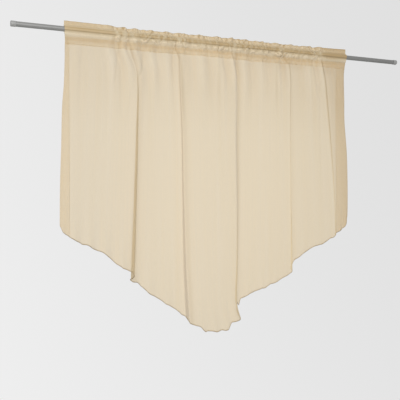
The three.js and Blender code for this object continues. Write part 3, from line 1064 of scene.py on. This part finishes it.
def makeCap(name, node, outward, sizes):
    low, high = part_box(node)
    rodLow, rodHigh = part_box("rod")
    radius = (high[2] - low[2]) / 2
    end = high[0] if outward > 0 else low[0]
    shoulder = (rodHigh[0] if outward > 0 else rodLow[0]) + outward * sizes["plugFit"] * mm
    plugRadius = (rodHigh[2] - rodLow[2]) / 2 - (rodSizes["thick"] + sizes["plugFit"]) * mm
    piece = addBar(name, sizes["sides"], radius, shoulder, end)
    setMode("EDIT")
    bpy.ops.mesh.select_mode(type="FACE")
    selectFaces(piece, lambda face: face.normal.x * outward < -0.9)
    bpy.ops.mesh.inset(thickness=radius - plugRadius)
    bpy.ops.mesh.extrude_region_move(
        TRANSFORM_OT_translate={"value": (-outward * sizes["plug"] * mm, 0, 0)}
    )
    outer = end * outward - mm
    selectFaces(piece, lambda face: face.normal.x * outward > 0.9 and face.center.x * outward > outer)
    bpy.ops.mesh.bevel(offset=sizes["chamfer"] * mm, segments=3, affect="EDGES")
    setMode("OBJECT")
    finishMetal(piece, sizes, finishes["cap"])
    return piece


rodPiece = makeRod(rodSizes)
capLeft = makeCap("rod_cap_left", "cap_left", -1, capSizes)
capRight = makeCap("rod_cap_right", "cap_right", 1, capSizes)
print("rod and caps made")


# sewing: short raised stitches, millimetres
stitches = {
    "length": 3.0, "pitch": 4.0, "thick": 0.5,
    # share along a stitch, lift and width there in thicknesses
    "shape": [(0.0, 0.1, 0.45), (0.5, 0.5, 1.0), (1.0, 0.1, 0.45)],
    "bandSeam": 44.0, "sideClear": (3, 2),
    "sideTop": 54, "sideEnd": 8, "sideInset": 1.5,
    "wrapAcross": (-562, 477), "wrapPitch": 2.6,
    "wrapUp": 1.2, "wrapDown": 0.8, "wrapSlant": 1.4, "wrapOut": 0.15,
}


def stitchMesh(starts, ends, normals):
    thick = stitches["thick"]
    ring = [(1, 0), (0, 1), (-1, 0), (0, -1)]
    points, faces = [], []
    for start, end, normal in zip(starts, ends, normals):
        side = np.cross(end - start, normal)
        side /= np.linalg.norm(side)
        base = len(points)
        for share, lift, wide in stitches["shape"]:
            centre = start + share * (end - start) + normal * lift * thick
            points += [centre + (a * side + b * normal) * wide * thick / 2 for a, b in ring]
        for low in (base, base + 4):
            faces += [[low + k, low + (k + 1) % 4, low + 4 + (k + 1) % 4, low + 4 + k] for k in range(4)]
        faces += [[base + 3, base + 2, base + 1, base], [base + 8, base + 9, base + 10, base + 11]]
    piece = newPiece("curtain_stitching", np.array(points), faces, finishes["thread"])
    clearSelection()
    piece.select_set(True)
    bpy.context.view_layer.objects.active = piece
    setMode("EDIT")
    bpy.ops.mesh.select_all(action="SELECT")
    bpy.ops.mesh.normals_make_consistent(inside=False)
    setMode("OBJECT")
    return piece


def unit(vectors):
    return vectors / np.linalg.norm(vectors, axis=1)[:, None]


# stitches along the width, on the front (-1) or back (1) of the cloth
def crossSeam(drop, gap, face):
    first = rodAnchors[0] + stitches["sideClear"][0]
    last = rodAnchors[-1] - stitches["sideClear"][1]
    place = np.arange(first, last, stitches["pitch"] / curtain["fullness"])
    reach = stitches["length"] / curtain["fullness"]
    level = np.full_like(place, drop)
    offset = face * gap
    hem = hemDropAt(place)
    starts = clothPoint(place, level, offset, hem)[0]
    ends = clothPoint(place + reach, level, offset, hem)[0]
    outer = clothPoint(place, level, offset + face, hem)[0]
    return starts, ends, unit(outer - starts)


def sideSeam(side, face):
    inset = stitches["sideInset"]
    line = curtain["sideHemLines"][side] + (-inset if side == "left" else inset)
    hem = np.interp(line, hemAcross, hemDrop)
    drops = np.arange(stitches["sideTop"], hem - stitches["sideEnd"], stitches["pitch"])
    offset = 0.0 if face < 0 else curtain["layerGap"]
    rows = []
    for shift, lift in ((0, 0), (stitches["length"], 0), (0, face)):
        place = placeOf(np.full_like(drops, line), drops + shift, side)
        rows.append(clothPoint(place, drops + shift, offset + lift + settleAt(drops), hemDropAt(place))[0])
    starts, ends, outer = rows
    return starts, ends, unit(outer - starts)


# slanted wraps over the rolled hem
def hemWraps():
    place = np.arange(*stitches["wrapAcross"], stitches["wrapPitch"] / curtain["fullness"])
    slanted = place + stitches["wrapSlant"]
    out = -stitches["wrapOut"]
    hem = hemDropAt(place)
    starts = clothPoint(place, hem - stitches["wrapUp"], out, hem)[0]
    ends = clothPoint(slanted, hemDropAt(slanted) + stitches["wrapDown"], out, hem)[0]
    outer = clothPoint(place, hem, out - 1, hem)[0]
    return starts, ends, unit(outer - clothPoint(place, hem, out, hem)[0])


def makeStitching():
    faces = (-1, 1)
    rows = [crossSeam(curtain["headerSeam"], curtain["headerGap"], face) for face in faces]
    rows += [crossSeam(stitches["bandSeam"], curtain["layerGap"], face) for face in faces]
    rows += [sideSeam(side, face) for side in ("left", "right") for face in faces]
    rows.append(hemWraps())
    return stitchMesh(*(np.concatenate(parts) for parts in zip(*rows)))


stitching = makeStitching()
print("stitching made:", len(stitching.data.polygons), "faces")


# every piece goes with the one body, and the frame parts it replaces are hidden
for piece, nodes, slot in (
    (curtainSheet, ["curtain"], "voile"),
    (stitching, [], "voile"),
    (rodPiece, ["rod"], "rod_metal"),
    (capLeft, ["cap_left"], "cap"),
    (capRight, ["cap_right"], "cap"),
):
    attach(piece, "root")
    if nodes:
        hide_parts(*nodes)


# studio: a pale floor that fades out, and a pale backdrop
studio = {
    "floor": -2150.0, "floorRadius": 2200.0, "floorSides": 96, "floorRough": 0.8, "floorFade": 2.5,
    "floorDark": (0.80, 0.80, 0.79, 1), "floorLight": (0.84, 0.84, 0.835, 1),
    # the seen backdrop has painted shade, lighter to the left and darker to the right
    "backdropLeft": (0.892, 0.892, 0.892, 1), "backdropRight": (0.706, 0.706, 0.706, 1),
    "darkSide": (0.85, 0.2, 0.3),
    "ambientHigh": (0.50, 0.50, 0.50, 1), "ambientLow": (0.32, 0.32, 0.315, 1),
}


def floorFinish():
    finish = Finish("studio_floor")
    coords = finish.objectCoords()
    cloud = finish.noise(coords, 1.5)
    reach = finish.add("VectorMath", {0: coords}, out="Value", operation="LENGTH")
    low = studio["floor"] * mm
    ground = (reach * reach - low * low).clamp(0, 100).root()  # distance from the floor's middle
    fade = (1.0 - ground / (studio["floorRadius"] * mm)).clamp()
    return finish.finish({
        "Base Color": finish.blend(cloud, studio["floorDark"], studio["floorLight"]),
        "Roughness": studio["floorRough"],
        "Alpha": (fade * studio["floorFade"]).clamp(),
    })


def makeFloor():
    clearSelection()
    bpy.ops.mesh.primitive_circle_add(
        vertices=studio["floorSides"], radius=studio["floorRadius"] * mm, fill_type="TRIFAN",
        location=(0, 0, studio["floor"] * mm),
    )
    floor = bpy.context.object
    floor.name = "studio_floor"
    bpy.ops.object.transform_apply()
    floor.data.materials.append(floorFinish())


# the backdrop that is seen, with painted shade darker towards the right, and the soft light all round
def makeWorld():
    world = bpy.data.worlds.new("studio")
    bpy.context.scene.world = world
    nodes = Nodes(world)
    toward = nodes.add("TexCoord", {}, out="Generated")
    sideways = {0: toward, 1: studio["darkSide"]}
    turn = nodes.add("VectorMath", sideways, out="Value", operation="DOT_PRODUCT")
    height = nodes.add("SeparateXYZ", {0: toward}, out="Z")
    raised = nodes.add("MapRange", {"Value": height, "From Min": -1})
    backdrop = nodes.blend(turn, studio["backdropLeft"], studio["backdropRight"])
    ambient = nodes.blend(raised, studio["ambientLow"], studio["ambientHigh"])
    seen = nodes.add("Background", {"Color": backdrop})
    light = nodes.add("Background", {"Color": ambient})
    cameraRay = nodes.add("LightPath", {}, out="Is Camera Ray")
    both = nodes.add("MixShader", {0: cameraRay, 1: light, 2: seen})
    nodes.add("OutputWorld", {"Surface": both})
    bpy.context.scene.view_settings.view_transform = "Standard"


# soft lamps: key from the left front, weak fill from the right, one behind; metres
lamps = [
    {"name": "key", "place": (-1.3, -2.4, 0.5), "aim": (-0.1, 0, -0.4), "size": 1.6, "watts": 32},
    {"name": "fill", "place": (2.2, -1.8, -0.6), "aim": (0, 0, -0.4), "size": 1.8, "watts": 2.2},
    {"name": "back", "place": (0.1, 1.3, -0.5), "aim": (0.1, 0, -0.5), "size": 0.9, "watts": 13},
]
makeFloor()
makeWorld()
for row in lamps:
    lamp = bpy.data.lights.new(row["name"], "AREA")
    lamp.shape = "DISK"
    lamp.size = row["size"]
    lamp.energy = row["watts"]
    holder = bpy.data.objects.new(row["name"], lamp)
    holder.location = row["place"]
    away = [end - start for start, end in zip(row["place"], row["aim"])]
    flat = math.hypot(away[0], away[1])
    holder.rotation_euler = (math.atan2(flat, -away[2]), 0, math.atan2(-away[0], away[1]))
    bpy.context.collection.objects.link(holder)
print("studio lit")
